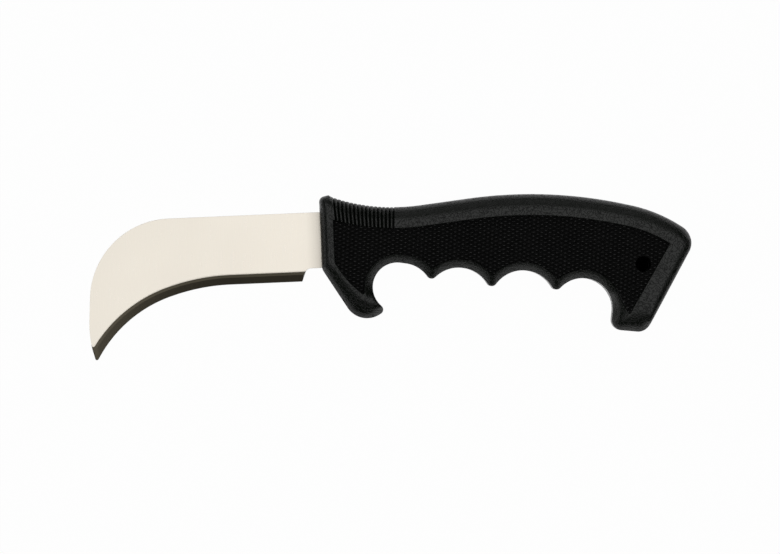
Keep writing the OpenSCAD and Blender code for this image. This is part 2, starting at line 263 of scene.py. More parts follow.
def meet(a, ra, b, rb):
    """Point ra from a and rb from b, on the left of the way from a to b."""
    dx, dy = b[0] - a[0], b[1] - a[1]
    span = math.hypot(dx, dy)
    q = (ra * ra - rb * rb + span * span) / (2 * span)
    h = leg(ra, q)
    return (a[0] + (dx * q - dy * h) / span, a[1] + (dy * q + dx * h) / span)


def belt(circles):
    """Arcs (x, y, r, first heading, turn) of a belt laid round circles, inside where r is below zero."""
    ways = []
    for (ax, ay, ar), (bx, by, br) in zip(circles, circles[1:] + circles[:1]):
        span = math.hypot(bx - ax, by - ay)
        lean = max(-1.0, min(1.0, (br - ar) / span))
        ways.append(math.atan2(by - ay, bx - ax) - math.asin(lean))
    arcs = []
    for i, (x, y, r) in enumerate(circles):
        turn = turn_of(ways[i] - ways[i - 1]) if r > 0 else -turn_of(ways[i - 1] - ways[i])
        arcs.append((x, y, r, ways[i - 1], turn))
    return arcs


def on_arc(arc, share):
    """Point at a share of the way along an arc."""
    x, y, r, start, turn = arc
    t = start + turn * share
    return (x + r * math.sin(t), y - r * math.cos(t))


def between(a, b, share):
    return a + (b - a) * share


def between_points(a, b, share):
    return (between(a[0], b[0], share), between(a[1], b[1], share))


def smooth(x):
    """An even rise from 0 to 1 that starts and ends level."""
    x = max(0.0, min(1.0, x))
    return x * x * (3 - 2 * x)


# Circles of the handle
guard = (GUARD_X, GUARD_R - GUARD_DROP)
index = (INDEX_X, -INDEX_TOP - INDEX_R)
flare = (index[0] + FLARE_BACK, index[1] - FLARE_DOWN)
finger_run = HANDLE_LEN - LITTLE_BACK - INDEX_X
middle = (INDEX_X + MIDDLE_SHARE * finger_run, -MIDDLE_TOP - MIDDLE_R)
ring = (INDEX_X + RING_SHARE * finger_run, -RING_TOP - RING_R)
little = (INDEX_X + finger_run, -LITTLE_TOP - LITTLE_R)
heel_y = HEEL_R - HEEL_DROP
heel = (little[0] + leg(math.hypot(LITTLE_R + HEEL_R, HEEL_RUN), heel_y - little[1]), heel_y)
foot = (heel[0] + HEEL_LEN, FOOT_R - HEEL_DROP - FOOT_DROP)
palm = (PALM_SHARE * HANDLE_LEN, PALM_H - PALM_R)
tail_way = math.radians(TAIL_TURN)
tail_out = PALM_R - TAIL_R + EASE
tail = (palm[0] + tail_out * math.sin(tail_way), palm[1] + tail_out * math.cos(tail_way))
butt_x = HANDLE_LEN - BUTT_R
butt = (butt_x, tail[1] + leg(TAIL_R - BUTT_R + EASE, butt_x - tail[0]))
ramp_y = RAMP_H + RAMP_R
ramp = (palm[0] - leg(math.hypot(PALM_R + RAMP_R, RAMP_RUN), ramp_y - palm[1]), ramp_y)
collar_x = COLLAR_LEN - COLLAR_TIP_R
collar_top = ramp_y - leg(RAMP_R, ramp[0] - COLLAR_LEN) + COLLAR_RISE
collar_root_x = COLLAR_LEN + COLLAR_DRAFT + COLLAR_ROOT_R

# Line of the butt, and what is set out from it
foot_to_butt = math.hypot(butt[0] - foot[0], butt[1] - foot[1])
butt_way = math.atan2(butt[1] - foot[1], butt[0] - foot[0]) - math.asin((BUTT_R - FOOT_R) / foot_to_butt)
along = (math.cos(butt_way), math.sin(butt_way))
inward = (-along[1], along[0])


def from_butt(inset):
    """Point beside the foot that lies inset from the line of the butt."""
    return (foot[0] + (inset - FOOT_R) * inward[0], foot[1] + (inset - FOOT_R) * inward[1])


def up_butt(point, y):
    """Point reached from the given one along the butt at height y."""
    step = (y - point[1]) / along[1]
    return (point[0] + step * along[0], y)


hole = up_butt(from_butt(HOLE_INSET), -HOLE_DROP)
rivet_places = [RIVET_X + i * RIVET_PITCH for i in range(RIVET_COUNT)]
floor_z = HALF_T - PANEL_SINK - PANEL_THICK


def handle_arcs(f):
    """Arcs of the handle's outline with its edges moved in by the share f of the rounding."""
    g = GROOVE_W * f
    e = between(RIDGE_R, RIDGE_TOP_R, f)
    u = between(GUARD_TIP_R, TIP_TOP_R, f)
    fr = INDEX_R + INDEX_FLARE + g
    mr = MIDDLE_R + g
    rr = RING_R + g
    lr = LITTLE_R + g
    pr = RAMP_R + BACK_W * f
    root_y = ramp_y - leg(pr - COLLAR_ROOT_R + HAIR, ramp[0] - collar_root_x)
    tip = meet(index, INDEX_R + g + u + EASE, guard, GUARD_R - GUARD_W * f - u + EASE)
    ridge1 = meet(flare, fr + e + EASE, middle, mr + e + EASE)
    ridge2 = meet(middle, mr + e + EASE, ring, rr + e + EASE)
    ridge3 = meet(ring, rr + e + EASE, little, lr + e + EASE)
    circles = {
        "chin": (CHIN_R, -CHIN_DROP, CHIN_R - CHIN_W * f),
        "guard": (*guard, GUARD_R - GUARD_W * f),
        "tip": (*tip, u),
        "index": (*index, -INDEX_R - g),
        "flare": (*flare, -fr),
        "ridge1": (*ridge1, e),
        "middle": (*middle, -mr),
        "ridge2": (*ridge2, e),
        "ring": (*ring, -rr),
        "ridge3": (*ridge3, e),
        "little": (*little, -lr),
        "heel": (*heel, HEEL_R - g),
        "foot": (*foot, FOOT_R - BUTT_W * f),
        "butt": (*butt, BUTT_R - BUTT_W * f),
        "tail": (*tail, TAIL_R - BACK_W * f),
        "palm": (*palm, PALM_R - BACK_W * f),
        "ramp": (*ramp, -pr),
        "collar_root": (collar_root_x, root_y, -COLLAR_ROOT_R),
        "collar_back": (collar_x, collar_top - COLLAR_TIP_R, between(COLLAR_TIP_R, COLLAR_TOP_R, f)),
        "collar_front": (COLLAR_R, collar_top - COLLAR_R - COLLAR_SLOPE, COLLAR_R - COLLAR_W * f),
    }
    return {name: (arc, 0.0, 1.0) for name, arc in zip(circles, belt(list(circles.values())))}


# Arcs of the handle that the panel lacks, each as a part of one of the panel's own corners
PANEL_CORNERS = {
    "guard": ("guard", 0.0, 0.45), "tip": ("guard", 0.55, 1.0), "collar_root": ("corner", 0.0, 0.2),
    "collar_back": ("corner", 0.3, 0.6), "collar_front": ("corner", 0.7, 1.0),
}


def panel_arcs(w):
    """Arcs of a grip panel's outline made smaller by w, under the names of the handle's arcs."""
    g = GROOVE_BAND + w
    e = PANEL_TIP_R
    fr = INDEX_R + INDEX_FLARE + g
    mr = MIDDLE_R + g
    rr = RING_R + g
    lr = LITTLE_R + g
    ridge1 = meet(flare, fr + e + EASE, middle, mr + e + EASE)
    ridge2 = meet(middle, mr + e + EASE, ring, rr + e + EASE)
    ridge3 = meet(ring, rr + e + EASE, little, lr + e + EASE)
    r = PANEL_R
    line = from_butt(BUTT_BAND + r)
    to_tail = (line[0] - tail[0], line[1] - tail[1])
    off = inward[0] * to_tail[0] + inward[1] * to_tail[1]
    step = leg(TAIL_R - TOP_BAND - r - EASE, off) - along[0] * to_tail[0] - along[1] * to_tail[1]
    top = (line[0] + step * along[0], line[1] + step * along[1])
    low_y = HEEL_BAND + r - HEEL_DROP
    low = up_butt(from_butt(BUTT_BAND_LOW + r), low_y)
    rise = low_y + PANEL_TIP_R
    back = (little[0] + leg(LITTLE_R + GROOVE_BAND + r + EASE, rise - little[1]) + HEEL_PANEL_IN, rise)
    x = COLLAR_BAND + r
    front_y = ramp[1] - leg(RAMP_R + TOP_BAND + r + HAIR, ramp[0] - x)
    guard_x = INDEX_X - INDEX_R - GROOVE_BAND - GUARD_PANEL_GAP - GUARD_PANEL_R
    chin = (x, -CHIN_PANEL_DROP)
    low_tip = (guard_x, GUARD_PANEL_R - GUARD_PANEL_DROP)
    bow = meet(chin, GUARD_BOW_R - r + EASE, low_tip, GUARD_BOW_R - GUARD_PANEL_R + EASE)
    circles = {
        "chin": (*chin, r - w),
        "chin_to_guard": (*bow, GUARD_BOW_R - w),
        "guard": (*low_tip, GUARD_PANEL_R - w),
        "index": (*index, -INDEX_R - g),
        "flare": (*flare, -fr),
        "ridge1": (*ridge1, e),
        "middle": (*middle, -mr),
        "ridge2": (*ridge2, e),
        "ring": (*ring, -rr),
        "ridge3": (*ridge3, e),
        "little": (*little, -lr),
        "heel": (*back, r - w),
        "foot": (*low, r - w),
        "butt": (*top, r - w),
        "tail": (*tail, TAIL_R - TOP_BAND - w),
        "palm": (*palm, PALM_R - TOP_BAND - w),
        "ramp": (*ramp, -RAMP_R - TOP_BAND - w),
        "corner": (x, front_y, r - w),
    }
    arcs = {name: (arc, 0.0, 1.0) for name, arc in zip(circles, belt(list(circles.values())))}
    for name, (corner, first, last) in PANEL_CORNERS.items():
        arcs[name] = (arcs[corner][0], first, last)
    return arcs


# Steps round each arc of the handle, and along the straight stretch that follows it
HANDLE_PLAN = (
    ("chin", 8, 40), ("guard", 24, 3), ("tip", 16, 3), ("index", 44, 3), ("flare", 12, 5),
    ("ridge1", 16, 5), ("middle", 32, 5), ("ridge2", 16, 5), ("ring", 32, 5), ("ridge3", 16, 5),
    ("little", 38, 5), ("heel", 20, 6), ("foot", 18, 50), ("butt", 26, 3), ("tail", 40, 3),
    ("palm", 70, 16), ("ramp", 0, 2), ("collar_root", 3, 4),
    ("collar_back", 7, 4), ("collar_front", 14, 36),
)
ribs_left = RIB_FIRST - RIB_BEFORE * RIB_PITCH
ribs_right = RIB_FIRST + (RIB_COUNT - 1 + RIB_BEHIND) * RIB_PITCH


def steps_between(first, last, count):
    """Values in even steps from the first to the last, with both ends."""
    return [between(first, last, k / count) for k in range(count + 1)]


def ramp_line(arc, inset):
    """Points along the thumb ramp, closer together where the ribs are and in line with them."""
    first = on_arc(arc, 0.0)[0]
    last = on_arc(arc, 1.0)[0]
    right = ribs_right - RIB_LEAN_BACK * inset
    left = max(ribs_left + RIB_LEAN_FRONT * inset, last + COLLAR_CLEAR)
    places = steps_between(first, right, RAMP_STEPS)[:-1]
    places += steps_between(right, left, RIB_STEPS)
    places += steps_between(left, last, LIP_STEPS)[1:]
    return [(x, arc[1] - leg(arc[2], arc[0] - x)) for x in places]


def handle_line(arcs, inset):
    """One closed line round the handle, set in by inset at the ramp; all have equally many points."""
    points = []
    run = 0
    side = None
    for name, steps, next_run in HANDLE_PLAN:
        arc, first, last = arcs[name]
        if name == "ramp":
            stretch = ramp_line(arc, inset)
        else:
            stretch = [on_arc(arc, share) for share in steps_between(first, last, steps)]
        if points:
            points += stretch_between(points[-1], stretch[0], run, side)
        points += stretch
        run = next_run
        side = arcs.get(name + "_to_guard")
    return points + stretch_between(points[-1], points[0], run, side)


def stretch_between(start, end, run, side):
    """Points inside the stretch from one arc to the next, straight or along an arc of its own."""
    if side:
        return [on_arc(side[0], k / run) for k in range(1, run)]
    return [between_points(start, end, k / run) for k in range(1, run)]


# Where another kind of rim begins: the share of an arc, or above one of the straight stretch after it
RIM_STARTS = {
    "chin": (0.5, "guard"), "tip": (0.75, "tip"), "index": (0.2, "groove"), "little": (0.8, "heel"),
    "foot": (0.8, "butt"), "butt": (0.5, "back"), "collar_root": (0.5, "collar"),
}
# A place past the end of every arc and stretch
PAST_END = 2.0
# How far one kind blends into the next, the kinds that reach further, and the least distance to a line
RIM_BLEND = 1.5
RIM_PULL = {"heel": 5.0}
LEAST_GAP = 0.003


def rim_kinds():
    """The kind of rim at each point of a handle line."""
    kinds = []
    kind = "collar"
    for name, steps, run in HANDLE_PLAN:
        start, next_kind = RIM_STARTS.get(name, (PAST_END, kind))
        count = RAMP_STEPS + RIB_STEPS + LIP_STEPS if name == "ramp" else steps
        places = [k / count for k in range(count + 1)] + [1 + k / run for k in range(1, run)]
        for place in places:
            kind = next_kind if place >= start else kind
            kinds.append(kind)
    return np.array(kinds)


def seen_from(points, line):
    """Each stretch of a closed line as a point sees it: its two ends along it, and how far off it runs."""
    starts = np.array(line)
    steps = np.roll(starts, -1, axis=0) - starts
    lengths = np.maximum(np.hypot(steps[:, 0], steps[:, 1]), HAIR)
    ways = steps / lengths[:, None]
    rays = starts[None] - np.array(points)[:, None]
    first = (rays * ways).sum(axis=2)
    off = np.abs(rays[..., 0] * ways[:, 1] - rays[..., 1] * ways[:, 0])
    return first, first + lengths, off


def gap_to(points, line):
    """How far each point is from a closed line."""
    first, last, off = seen_from(points, line)
    past = np.maximum(0.0, np.maximum(first, -last))
    return np.hypot(past, off).min(axis=1)


def rim_drops(points, outer, edge):
    """Depth of each point of a ring below the highest face, by the kinds of rim that it is near."""
    first, last, off = seen_from(points, outer)
    off = np.maximum(off, LEAST_GAP)

    def pull(s):
        """Integral of 1 / r ** 4 up to s along a stretch; their sum gives a soft distance to the line."""
        return s / (2 * off ** 2 * (s ** 2 + off ** 2)) + np.arctan(s / off) / (2 * off ** 3)

    inset = (math.pi / 2 / (pull(last) - pull(first)).sum(axis=1)) ** (1 / 3)
    reach = inset + gap_to(points, edge)
    near = (last - first) / (((first + last) / 2) ** 2 + off ** 2 + RIM_BLEND ** 2) ** 2
    shares = {kind: RIM_PULL.get(kind, 1.0) * near[:, rims == kind].sum(axis=1) for kind in RIMS}
    return sum(shares[kind] * RIMS[kind](inset, reach) for kind in RIMS) / sum(shares.values())


def rib_depths():
    """Depth of the rib grooves at each point of a handle line."""
    depths = []
    run = 0
    for name, steps, next_run in HANDLE_PLAN:
        if depths:
            depths += [0.0] * (run - 1)
        if name == "ramp":
            depths += [0.0] * RAMP_STEPS
            depths += [rib_depth(x) for x in steps_between(ribs_right, ribs_left, RIB_STEPS)]
            depths += [0.0] * LIP_STEPS
        else:
            depths += [0.0] * (steps + 1)
        run = next_run
    return depths + [0.0] * (run - 1)


def rib_depth(x):
    """Depth below the smooth rim, where x is taken along the top of the ramp."""
    place = (x - RIB_FIRST) / RIB_PITCH
    groove = max(0, min(RIB_COUNT - 1, round(place)))
    p = place - groove
    wall = max(0.0, 1 - abs(p) / RIB_WALL)
    if (groove == 0 and p < 0) or (groove == RIB_COUNT - 1 and p > 0):
        return (RIB_LOW + RIB_DEPTH) * smooth(wall)
    off_wall = max(0.0, abs(p) - RIB_WALL) / (0.5 - RIB_WALL)
    crest = RIB_EDGE * max(0.0, 1 - off_wall) ** 2
    return RIB_LOW + between(crest, RIB_DEPTH, wall)


def quarter(d, width, depth):
    """Depth below the top of a rounding shaped as a quarter of an ellipse, d in from the side."""
    return depth * (1 - np.sqrt(1 - (1 - np.minimum(1.0, d / width)) ** 2))


def fall(d, width, depth, power):
    """The same for a face that falls away ever more steeply, from an even slope at power 1."""
    return depth * (1 - np.minimum(1.0, d / width)) ** power


def guard_rim(d, reach):
    """A narrow bead at the side of the guard, and a face that runs up from it to the panel."""
    width = np.minimum(reach, GUARD_FACE_W)
    return fall(d, *GUARD_BEAD) + fall(d, width, GUARD_FACE_SLOPE * width, GUARD_FACE_POWER)


# Depth of each kind of rim below its highest face, d in from the side, where the panel is reach in
RIMS = {
    "back": lambda d, reach: quarter(d, *BACK_ROUND),
    "butt": lambda d, reach: quarter(d, *BUTT_ROUND),
    "collar": lambda d, reach: quarter(d, *COLLAR_ROUND),
    "guard": guard_rim,
    "tip": lambda d, reach: fall(d, *TIP_FALL),
    "groove": lambda d, reach: fall(d, *GROOVE_FALL),
    "heel": lambda d, reach: fall(d, *HEEL_BEAD) + fall(d, *HEEL_FALL),
}
depths = rib_depths()
rims = rim_kinds()


def ring_solid(name, rings):
    """A closed solid through rings of (x, y, z), each extruded from the one before it."""
    bpy.ops.object.select_all(action="DESELECT")
    bpy.ops.mesh.primitive_circle_add(vertices=len(rings[0]), fill_type="NOTHING")
    piece = bpy.context.object
    piece.name = name
    piece.data.name = name
    order = {}
    for i, vertex in enumerate(piece.data.vertices):
        vertex.co = rings[0][i]
        order[vertex.co.to_tuple()] = i
    bpy.ops.object.mode_set(mode="EDIT")
    bpy.ops.mesh.select_mode(type="VERT")
    bpy.ops.mesh.select_all(action="SELECT")
    bpy.ops.mesh.edge_face_add()
    for places in rings[1:]:
        bpy.ops.mesh.extrude_edges_move()
        mesh = bmesh.from_edit_mesh(piece.data)
        moved = {}
        for vertex in mesh.verts:
            if vertex.select:
                i = order[vertex.co.to_tuple()]
                vertex.co = places[i]
                moved[vertex.co.to_tuple()] = i
        order = moved
    bmesh.update_edit_mesh(piece.data)
    bpy.ops.mesh.edge_face_add()
    bpy.ops.mesh.select_all(action="SELECT")
    bpy.ops.mesh.normals_make_consistent(inside=False)
    bpy.ops.object.mode_set(mode="OBJECT")
    return piece


def in_frame(points, z):
    """A ring in the frame's metres, from points on the knife and a height over its middle plane."""
    heights = z if isinstance(z, list) else [z] * len(points)
    return [(KNIFE[0] + x * MM, KNIFE[1] + y * MM, KNIFE[2] + h * MM)
            for (x, y), h in zip(points, heights)]


def cylinder(x, y, r, low, high):
    """A round cutter through the knife at (x, y), from one height to another."""
    bpy.ops.object.select_all(action="DESELECT")
    place = in_frame([(x, y)], (low + high) / 2)[0]
    bpy.ops.mesh.primitive_cylinder_add(vertices=BORE_STEPS, radius=r * MM, depth=(high - low) * MM,
                                        location=place)
    return bpy.context.object


def block(x0, x1, y0, y1, low, high):
    """A square cutter between two heights."""
    bpy.ops.object.select_all(action="DESELECT")
    place = in_frame([((x0 + x1) / 2, (y0 + y1) / 2)], (low + high) / 2)[0]
    bpy.ops.mesh.primitive_cube_add(size=1, location=place)
    bpy.ops.transform.resize(value=((x1 - x0) * MM, (y1 - y0) * MM, (high - low) * MM))
    return bpy.context.object


def cut(piece, cutters, operation="DIFFERENCE"):
    """Cuts a piece by others, which are used up."""
    for cutter in cutters:
        modifier = piece.modifiers.new("cut", "BOOLEAN")
        modifier.operation = operation
        modifier.solver = "EXACT"
        modifier.object = cutter
        activate(piece)
        bpy.ops.object.modifier_apply(modifier=modifier.name)
        bpy.data.objects.remove(cutter)


def activate(piece):
    bpy.ops.object.select_all(action="DESELECT")
    piece.select_set(True)
    bpy.context.view_layer.objects.active = piece


def finish_faces(piece, angle):
    """Shades a piece smooth, apart from edges sharper than the angle."""
    activate(piece)
    bpy.ops.object.shade_smooth_by_angle(angle=math.radians(angle))


def mirrored(piece, name):
    """The same piece on the other side of the blade's middle plane, with its own mesh."""
    activate(piece)
    bpy.ops.object.duplicate()
    other = bpy.context.object
    other.name = name
    other.data.name = name
    bpy.ops.object.mode_set(mode="EDIT")
    bpy.ops.mesh.select_all(action="SELECT")
    bpy.ops.transform.resize(value=(1, 1, -1), center_override=KNIFE)
    bpy.ops.mesh.flip_normals()
    bpy.ops.object.mode_set(mode="OBJECT")
    return other


def ribbed(points, heights, out, up):
    """A ring with the rib grooves let in, against the way (out, up) in which the surface faces."""
    deep = between(RIB_SHALLOW, 1.0, smooth(RIB_SOON * up))
    placed = [(x, y - d * deep * out) for (x, y), d in zip(points, depths)]
    return in_frame(placed, [h - d * deep * up for h, d in zip(heights, depths)])


def shell_rings():
    """Rings up the side of a handle half, over its rounded rim and down into the panel's pocket."""
    outer = handle_line(handle_arcs(0.0), 0.0)
    rim = handle_line(handle_arcs(1.0), BACK_W)
    edge = handle_line(panel_arcs(-LIP), TOP_BAND - LIP)
    rings = [ribbed(outer, [0.0] * len(outer), 1.0, 0.0)]
    for k in range(ROUND_STEPS + 1):
        a = math.pi / 2 * k / ROUND_STEPS
        f = 1 - math.cos(a)
        out, up = ROUND_D * math.cos(a), BACK_W * math.sin(a)
        size = math.hypot(out, up)
        points = handle_line(handle_arcs(f), BACK_W * f)
        heights = [HALF_T - drop for drop in rim_drops(points, outer, edge)]
        rings.append(ribbed(points, heights, out / size, up / size))
    for u in RIM_SHARES:
        points = [between_points(a, b, u) for a, b in zip(rim, edge)]
        heights = [HALF_T - drop for drop in rim_drops(points, outer, edge)]
        rings.append(ribbed(points, heights, 0.0, 1.0))
    for degrees in LIP_ANGLES:
        a = math.radians(degrees)
        points = handle_line(panel_arcs(-LIP * (1 - math.sin(a))), TOP_BAND)
        lip = [h - LIP * (1 - math.cos(a)) for h in heights]
        rings.append(ribbed(points, lip, 0.0, 1.0))
    rings.append(in_frame(points, floor_z))
    return rings


def make_shells():
    """Both handle halves, with the hole, the tang's pocket and the rivets' bores."""
    left = ring_solid("handle_shell_left", shell_rings())
    cutters = [cylinder(*hole, HOLE_R, -OVER, HALF_T + OVER)]
    y = TANG_H / 2 + TANG_GAP
    cutters.append(block(-OVER, TANG_LEN + TANG_GAP, -y, y, -OVER, (BLADE_THICK + TANG_GAP) / 2))
    for x in rivet_places:
        cutters.append(cylinder(x, 0, SLEEVE_R + RIVET_GAP, -OVER, HALF_T - OVER))
        cutters.append(cylinder(x, 0, HEAD_R + RIVET_GAP, floor_z - HEAD_T, floor_z + PANEL_THICK / 2))
    cut(left, cutters)
    finish_faces(left, SHELL_CREASE)
    return left, mirrored(left, "handle_shell_right")


def select_faces(piece, wanted):
    """Selects, in edit mode, the faces whose normal rises as wanted."""
    mesh = bmesh.from_edit_mesh(piece.data)
    for face in mesh.faces:
        face.select = wanted(face.normal.z)
    bmesh.update_edit_mesh(piece.data)


def first_diamond():
    """One cut-off diamond about the origin, open below and left in edit mode."""
    bpy.ops.object.select_all(action="DESELECT")
    bpy.ops.mesh.primitive_cone_add(vertices=4, radius1=1, radius2=DIAMOND_TOP, depth=1)
    diamond = bpy.context.object
    bpy.ops.object.mode_set(mode="EDIT")
    bpy.ops.mesh.select_mode(type="FACE")
    bpy.ops.mesh.select_all(action="DESELECT")
    select_faces(diamond, lambda rise: rise < FACES_DOWN)
    bpy.ops.mesh.delete(type="FACE")
    select_faces(diamond, lambda rise: rise > FACES_UP)
    bpy.ops.transform.resize(value=(DIAMOND_LONG, 1, 1))
    bpy.ops.mesh.select_all(action="SELECT")
    bpy.ops.transform.resize(value=(DIAMOND_A * MM, DIAMOND_B * MM, DIAMOND_H * MM))
    mesh = bmesh.from_edit_mesh(diamond.data)
    for vertex in mesh.verts:
        vertex.co.x += DIAMOND_LEAN * vertex.co.y
    bmesh.update_edit_mesh(diamond.data)
    return diamond


def chequer_sheet():
    """Rows of cut-off diamonds, standing on one another's edges, over the whole handle."""
    top = KNIFE[2] + (HALF_T - PANEL_SINK) * MM
    sheet = first_diamond()
    lean = DIAMOND_LEAN * DIAMOND_B
    low = in_frame([(-SHEET_MORE, -HEEL_DROP - SHEET_MORE)], 0)[0]
    bpy.ops.transform.translate(value=(low[0], low[1], top - DIAMOND_H / 2 * MM))
    step = ((DIAMOND_A + lean) * MM, DIAMOND_B * MM, 0)
    bpy.ops.mesh.duplicate_move(TRANSFORM_OT_translate={"value": step})
    bpy.ops.object.mode_set(mode="OBJECT")
    columns = math.ceil((HANDLE_LEN + 2 * SHEET_MORE) / (2 * DIAMOND_A))
    rows = math.ceil((HEEL_DROP + PALM_H + 2 * SHEET_MORE) / (2 * DIAMOND_B))
    repeat(sheet, columns, (2 * DIAMOND_A * MM, 0, 0))
    repeat(sheet, rows, (2 * lean * MM, 2 * DIAMOND_B * MM, 0))
    bpy.ops.object.mode_set(mode="EDIT")
    bpy.ops.mesh.select_mode(type="VERT")
    bpy.ops.mesh.select_all(action="SELECT")
    bpy.ops.mesh.remove_doubles(threshold=SHEET_MERGE * MM)
    bpy.ops.transform.rotate(value=math.radians(-DIAMOND_TURN), orient_axis="Z", center_override=KNIFE)
    bpy.ops.mesh.select_all(action="DESELECT")
    bpy.ops.mesh.select_mode(type="EDGE")
    bpy.ops.mesh.select_non_manifold()
    bpy.ops.mesh.extrude_edges_move(TRANSFORM_OT_translate={"value": (0, 0, -2 * PANEL_THICK * MM)})
    bpy.ops.mesh.edge_face_add()
    bpy.ops.mesh.select_all(action="SELECT")
    bpy.ops.mesh.normals_make_consistent(inside=False)
    bpy.ops.object.mode_set(mode="OBJECT")
    return sheet


def repeat(piece, count, offset):
    """Turns a piece into a row of copies, joined in its mesh."""
    modifier = piece.modifiers.new("repeat", "ARRAY")
    modifier.use_relative_offset = False
    modifier.use_constant_offset = True
    modifier.count = count
    modifier.constant_offset_displace = offset
    activate(piece)
    bpy.ops.object.modifier_apply(modifier=modifier.name)


def make_panels():
    """Both grip panels, cut from the sheet of diamonds."""
    line = handle_line(panel_arcs(PANEL_GAP), TOP_BAND)
    left = ring_solid("grip_panel_left", [in_frame(line, floor_z), in_frame(line, HALF_T)])
    cut(left, [chequer_sheet()], "INTERSECT")
    cut(left, [cylinder(*hole, HOLE_R, 0, HALF_T + OVER)])
    finish_faces(left, PANEL_CREASE)
    return left, mirrored(left, "grip_panel_right")


# Circles of the blade
spine_y = STOCK_H / 2
edge_y = -STOCK_H / 2 - EDGE_DROP
nose = (NOSE_R - BLADE_REACH, spine_y - NOSE_DROP)
hook_y = spine_y - HOOK_R
hook = (nose[0] - leg(math.hypot(NOSE_R - HOOK_R, FRONT_LEN), hook_y - nose[1]), hook_y)
edge_c = (-EDGE_FLAT, edge_y - EDGE_R)
bend = EDGE_R - EDGE_HOOK_R + EASE
bend_way = math.radians(EDGE_TURN)
throat = (edge_c[0] - bend * math.sin(bend_way), edge_c[1] + bend * math.cos(bend_way))
notch = (-HEEL_GAP + HEEL_NOSE + NOTCH_R, -STOCK_H / 2 - NOTCH_R)
# Steps round each circle, from the point along the edge to the tang and back along the spine
BLADE_STEPS = (8, 50, 20, 6, 10, 4, 4, 8, 8, 4, 4, 60, 24)


def blade_line(w, arris):
    """Outline of the blade with its edge moved in by w and its other sides by arris."""
    tip_r = TIP_R - arris
    tip = meet(throat, EDGE_HOOK_R + w + tip_r + EASE, nose, NOSE_R - arris - tip_r + EASE)
    heel_top = edge_y + w + HEEL_EDGE_R
    reach = leg(NOTCH_R + HEEL_EDGE_R + EASE, max(0.0, heel_top - notch[1]))
    heel_x = notch[0] - reach - HEEL_NOSE * (1 - w / BEVEL_W)
    tang_y = TANG_H / 2
    end = TANG_LEN - TANG_R
    circles = [
        (*tip, tip_r),
        (*throat, -EDGE_HOOK_R - w),
        (*edge_c, -EDGE_R - w),
        (heel_x, heel_top, HEEL_EDGE_R),
        (*notch, -NOTCH_R - arris),
        (-SEAM - CORNER_R, CORNER_R - STOCK_H / 2, CORNER_R - arris),
        (ROOT_R - SEAM, -tang_y - ROOT_R, -ROOT_R - arris),
        (end, TANG_R - tang_y, TANG_R - arris),
        (end, tang_y - TANG_R, TANG_R - arris),
        (ROOT_R - SEAM, tang_y + ROOT_R, -ROOT_R - arris),
        (-SEAM - CORNER_R, spine_y - CORNER_R, CORNER_R - arris),
        (*hook, HOOK_R - arris),
        (*nose, NOSE_R - arris),
    ]
    points = []
    for arc, steps in zip(belt(circles), BLADE_STEPS):
        points += [on_arc(arc, share) for share in steps_between(0.0, 1.0, steps)]
    return points


def make_blade():
    """The sheet with broken corners, ground from both sides to an edge in its middle plane."""
    t = BLADE_THICK / 2
    side = t - ARRIS_DEEP
    flat = blade_line(BEVEL_W, ARRIS)
    shoulder_w = BEVEL_W * side / t
    shoulder = blade_line(shoulder_w, 0.0)
    ground = blade_line(BEVEL_TOP * shoulder_w, 0.0)
    ground_z = side - (1 - BEVEL_TOP) * shoulder_w * math.tan(math.radians(BEVEL_TOP_TURN))
    edge = blade_line(0.0, 0.0)
    rings = [in_frame(flat, -t), in_frame(shoulder, -side), in_frame(ground, -ground_z), in_frame(edge, 0.0),
             in_frame(ground, ground_z), in_frame(shoulder, side), in_frame(flat, t)]
    blade = ring_solid("hook_blade", rings)
    cut(blade, [cylinder(x, 0, SLEEVE_R + RIVET_GAP, -BLADE_THICK, BLADE_THICK) for x in rivet_places])
    finish_faces(blade, BLADE_CREASE)
    return blade


def new_material(name):
    """A material with its shader, and a short way to add nodes to it."""
    material = bpy.data.materials.new(name)
    material.use_nodes = True
    tree = material.node_tree
    shader = tree.nodes["Principled BSDF"]

    def add(kind, links=(), **values):
        node = tree.nodes.new(kind)
        for key, value in values.items():
            setattr(node, key, value)
        for source, socket in links:
            tree.links.new(source, node.inputs[socket])
        return node

    return material, tree, shader, add


def noise_of(add, place, scale, detail=2.0, stretch=(1, 1, 1)):
    """Noise of about scale grains a metre, finer along an axis by its own factor in stretch."""
    mapping = add("ShaderNodeMapping", [(place, "Vector")])
    mapping.inputs["Scale"].default_value = stretch
    noise = add("ShaderNodeTexNoise", [(mapping.outputs["Vector"], "Vector")])
    noise.inputs["Scale"].default_value = scale
    noise.inputs["Detail"].default_value = detail
    return noise.outputs["Fac"]


def colours_of(add, factor, stops):
    """A colour ramp with stops (place, colour)."""
    ramp_node = add("ShaderNodeValToRGB", [(factor, "Fac")])
    elements = ramp_node.color_ramp.elements
    while len(elements) < len(stops):
        elements.new(0.5)
    for element, (place, colour) in zip(elements, stops):
        element.position = place
        element.color = (*colour, 1)
    return ramp_node.outputs["Color"]


def range_of(add, factor, low, high, first=0.3, last=0.7):
    """A value that runs from low to high while the factor runs from the first to the last."""
    node = add("ShaderNodeMapRange", [(factor, "Value")])
    node.inputs["From Min"].default_value = first
    node.inputs["From Max"].default_value = last
    node.inputs["To Min"].default_value = low
    node.inputs["To Max"].default_value = high
    return node.outputs["Result"]


def bump_of(add, height, strength, distance, below=None):
    """The normal over a height, on top of another bump where one lies below."""
    links = [(height, "Height")]
    if below:
        links.append((below, "Normal"))
    node = add("ShaderNodeBump", links)
    node.inputs["Strength"].default_value = strength
    node.inputs["Distance"].default_value = distance
    return node.outputs["Normal"]


